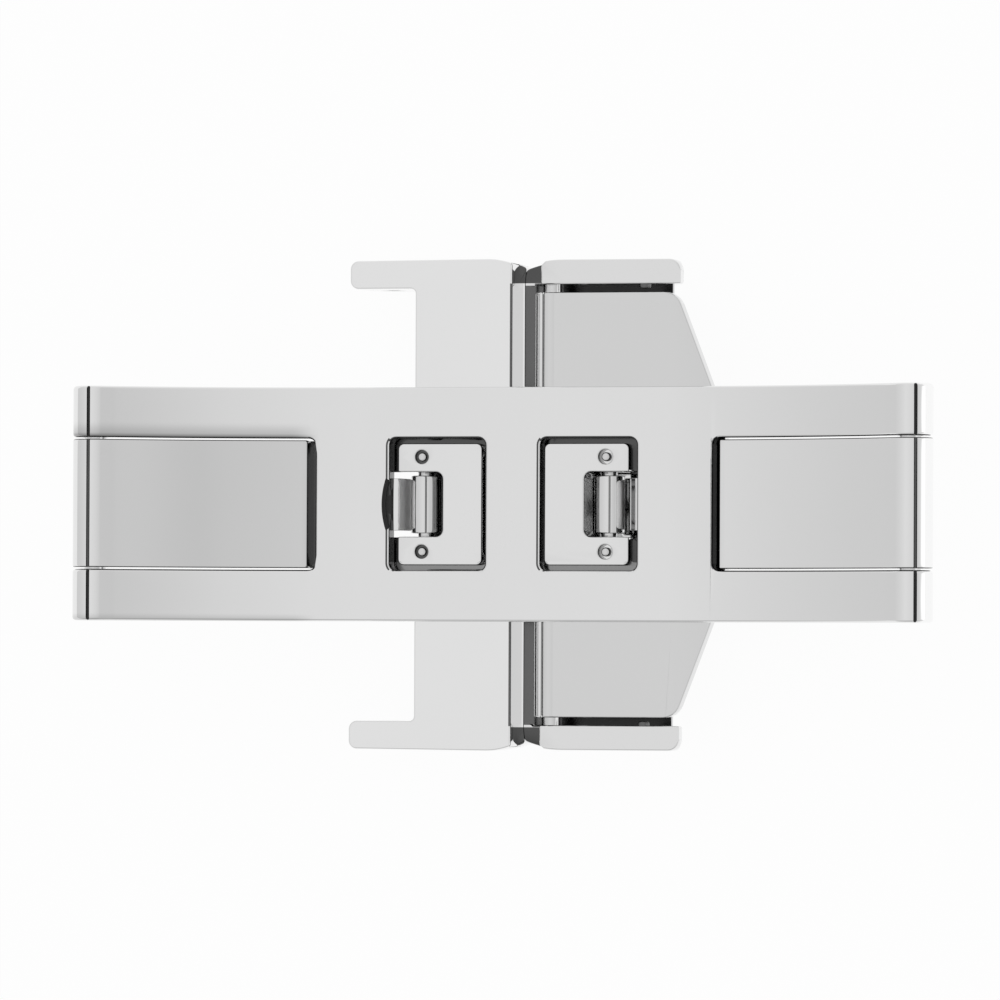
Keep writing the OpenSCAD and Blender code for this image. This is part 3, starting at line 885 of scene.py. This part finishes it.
def groove(spot, normal):
    """The ledge and the lug half's edge beside the split, the floor beside the strap plate, the pocket: all
    painted dark as shade.
    """
    beside_split = abs(spot.y) < notch_y - 0.02 and 0 < spot.x < knuckle_x + 0.1
    in_pocket = abs(spot.y) < 4.6 and spot.x < -0.4
    at_edge = abs(spot.y) < notch_y and -0.43 < spot.x < -0.3
    lug_edge = at_edge and normal.x > 0.1 and spot.z > -web_top - 0.12
    low = -cover_depth + 0.5 < spot.z < -web_top - 0.02
    return low and (beside_strap(spot, normal) or beside_split or in_pocket) or lug_edge


give_faces_steel(lugs, groove, dark_shade_steel)
give_faces_steel(lugs, in_notch, shaded_steel)
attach(lugs, "left_wing")
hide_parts("lug_cover")

for number, spot in enumerate(rivet_spots, 1):
    head = rod(rivet_head_r, -web_top - rivet_head_t, -web_top, spot, "Z", edge=0.05, segments=32)
    rivet = thing("rivet_" + str(number), head)
    combine(rivet, rod(rivet_r, -web_top - rivet_reach, -web_top - 0.2, spot, "Z", segments=32), "UNION")
    polish(rivet, 0)
    rivet.data.materials.append(drawn_steel.material)
    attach(rivet, "left_wing")
    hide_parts("lug_rivet_" + str(number))


# Clamp half of the cover.
# A U-shaped channel with a thin floor and two ears. It hangs on the pin through the strap
# plate's rolled edge and closes over the strap's free end, held shut by two small bumps.
ear_reach = 7.0
ear_corner = 0.5
ear_flank_r = 5.0
ear_belly_r = 0.95
ear_side = cover_w / 2 - side_inset
clamp_top = web_top - 0.1
clamp_half = ([(ear_reach, 0)] + arc((ear_reach - ear_corner, ear_side - ear_corner), ear_corner, 0, 90, 8)
              + arc((1.9, ear_side - ear_flank_r), ear_flank_r, 90, 112, 10)
              + [(split_gap, cover_w / 2 - split_inset)])
clamp_side = ([(0, -clamp_top), (0, -cover_depth)]
              + arc((ear_reach - 1.8, -cover_depth + ear_belly_r), ear_belly_r, 270, 345, 14)
              + [(ear_reach + 0.2, -clamp_top - 0.05), (ear_reach + 0.2, -clamp_top)])
clamp = thing("clamp_cover_polished",
              prism(clamp_half[1:] + [(x, -y) for x, y in reversed(clamp_half[1:])], -blank_t, 0, "Z"))
combine(clamp, prism(clamp_side, -past_cover, past_cover, "Y"), "INTERSECT")
combine(clamp, prism(front_outline(-clamp_top), -3, past_cover, "X"), "INTERSECT")
ear_end = [(0.8, 11.0), (0.8, 9.75)] + arc((1.5, 9.75), 0.65, 180, 90, 10) + [(1.5, 11.0)]


def channel(start, end, low, high):
    """What is milled out between the ears, from start to end along X."""
    return prism(rounded_rect(start, end, -half_channel, half_channel, groove_corner), low, high, "Z")


for cutter in notches() + [
        prism(ear_end, -ledge_depth - 0.3, 1, "Z"),
        prism([(x, -y) for x, y in ear_end], -ledge_depth - 0.3, 1, "Z"),
        channel(knuckle_x, past_cover, floor_top, 1),
        rod(knuckle_r + 0.07, -half_channel, half_channel, knuckle_at, "Y"),
        channel(-1, 2, -ledge_depth, 1),
        channel(knuckle_x - 0.75, 3, floor_top, floor_top + 1.2)]:
    combine(clamp, cutter, "DIFFERENCE")
divide(clamp, x=(2.2,), y=(half_channel - 0.4, 0.4 - half_channel), z=(floor_top - 0.3,))


def at_ear(spot):
    """The edges that stay crisp on the clamp half: the split, and the straight top edge of an ear's end."""
    return at_split(spot) or (spot.x > ear_reach - 0.01 and spot.z > -clamp_top - 0.1 and abs(spot.y) < 10)


polish(clamp, cover_edge, crisp=at_ear)
ear_steel = Steel("ear_steel", tone=0.80, roughness=0.035, ripple=6e-6, ripple_size=120.0)
clad(clamp, ear_steel)
give_faces_steel(clamp, groove, dark_shade_steel)
give_faces_steel(clamp, beside_strap, deep_shade_steel)
give_faces_steel(clamp, in_notch, shaded_steel)
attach(clamp, "clamp")
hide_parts("clamp_cover")

bump_r = 0.25
bump_proud = 0.18
bump_at = (5.4, -web_top - 0.22)
for side_name, sign in (("front", -1), ("back", 1)):
    ends = sorted((sign * (half_channel - bump_proud), sign * (half_channel + 0.1)))
    bump = thing(side_name + "_snap_bump", rod(bump_r, *ends, bump_at, "Y", edge=0.08, segments=32))
    polish(bump, 0)
    # The bumps are painted dark as shade, as they stand in the shaded gap beside the strap plate.
    clad(bump, dark_shade_steel)
    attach(bump, "clamp")

half_length = (cover_w - 0.72) / 2
pin("clamp_hinge_rod", rod(clamp_pin_r, -half_length, half_length, knuckle_at, "Y", edge=0.06),
    "clamp", "clamp_hinge_pin")
peg_x = 6.75
peg_r = 0.75
peg_length = 1.6
peg = rod(peg_r, -web_bottom - peg_length, -web_bottom, (peg_x, 0), "Z", edge=0.25)
pin("strap_hole_peg", peg, "right_wing", "strap_peg")


# Catch rollers with their pins.
# Each roller is a short turned tube that spins on a thin pin across the leaf's cut-out and
# snaps behind a hook; two lock pins stand in the block and keep the catch pin from sliding.
roller_r = 0.65
roller_length = 2.44
roller_line_turn = 13
lock_gap = 0.03
turned_steel = Steel("turned_steel", tone=0.78, roughness=0.05, ripple=1e-6, ripple_size=500.0,
                     hairlines=3e-7, along=(1, 0.1, 1))
for side_name, sign in (("left", -1), ("right", 1)):
    axis_at = (sign * roller_x, -roller_depth)
    roller = thing(side_name + "_catch_roller",
                   rod(roller_r, -roller_length / 2, roller_length / 2, axis_at, "Y", edge=0.07))
    combine(roller, rod(catch_pin_r + bore_gap, -3, 3, axis_at, "Y"), "DIFFERENCE")
    line_at = on_rim(axis_at, roller_r, roller_line_turn)
    combine(roller, rod(line_r, -3, 3, line_at, "Y", segments=12), "DIFFERENCE")
    polish(roller, 0.012)
    clad(roller, turned_steel)
    # The roller's groove is painted darker along its length.
    give_faces_steel(roller, scored(line_at), half_shade_steel)
    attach(roller, side_name + "_catch_roller")
    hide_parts(side_name + "_roller")
    reach = lock_y - lock_r - 0.01
    pin(side_name + "_catch_rod", rod(catch_pin_r, -reach, reach, axis_at, "Y", edge=0.04),
        side_name + "_wing", side_name + "_catch_pin")
    for number, y in ((1, -lock_y), (2, lock_y)):
        lock = rod(lock_r - lock_gap, -web_bottom + 0.1, -block_drop - 0.04, (sign * roller_x, y), "Z",
                   edge=0.12, segments=32)
        pin(side_name + "_lock_" + str(number), lock,
            side_name + "_wing", side_name + "_lock_pin_" + str(number))
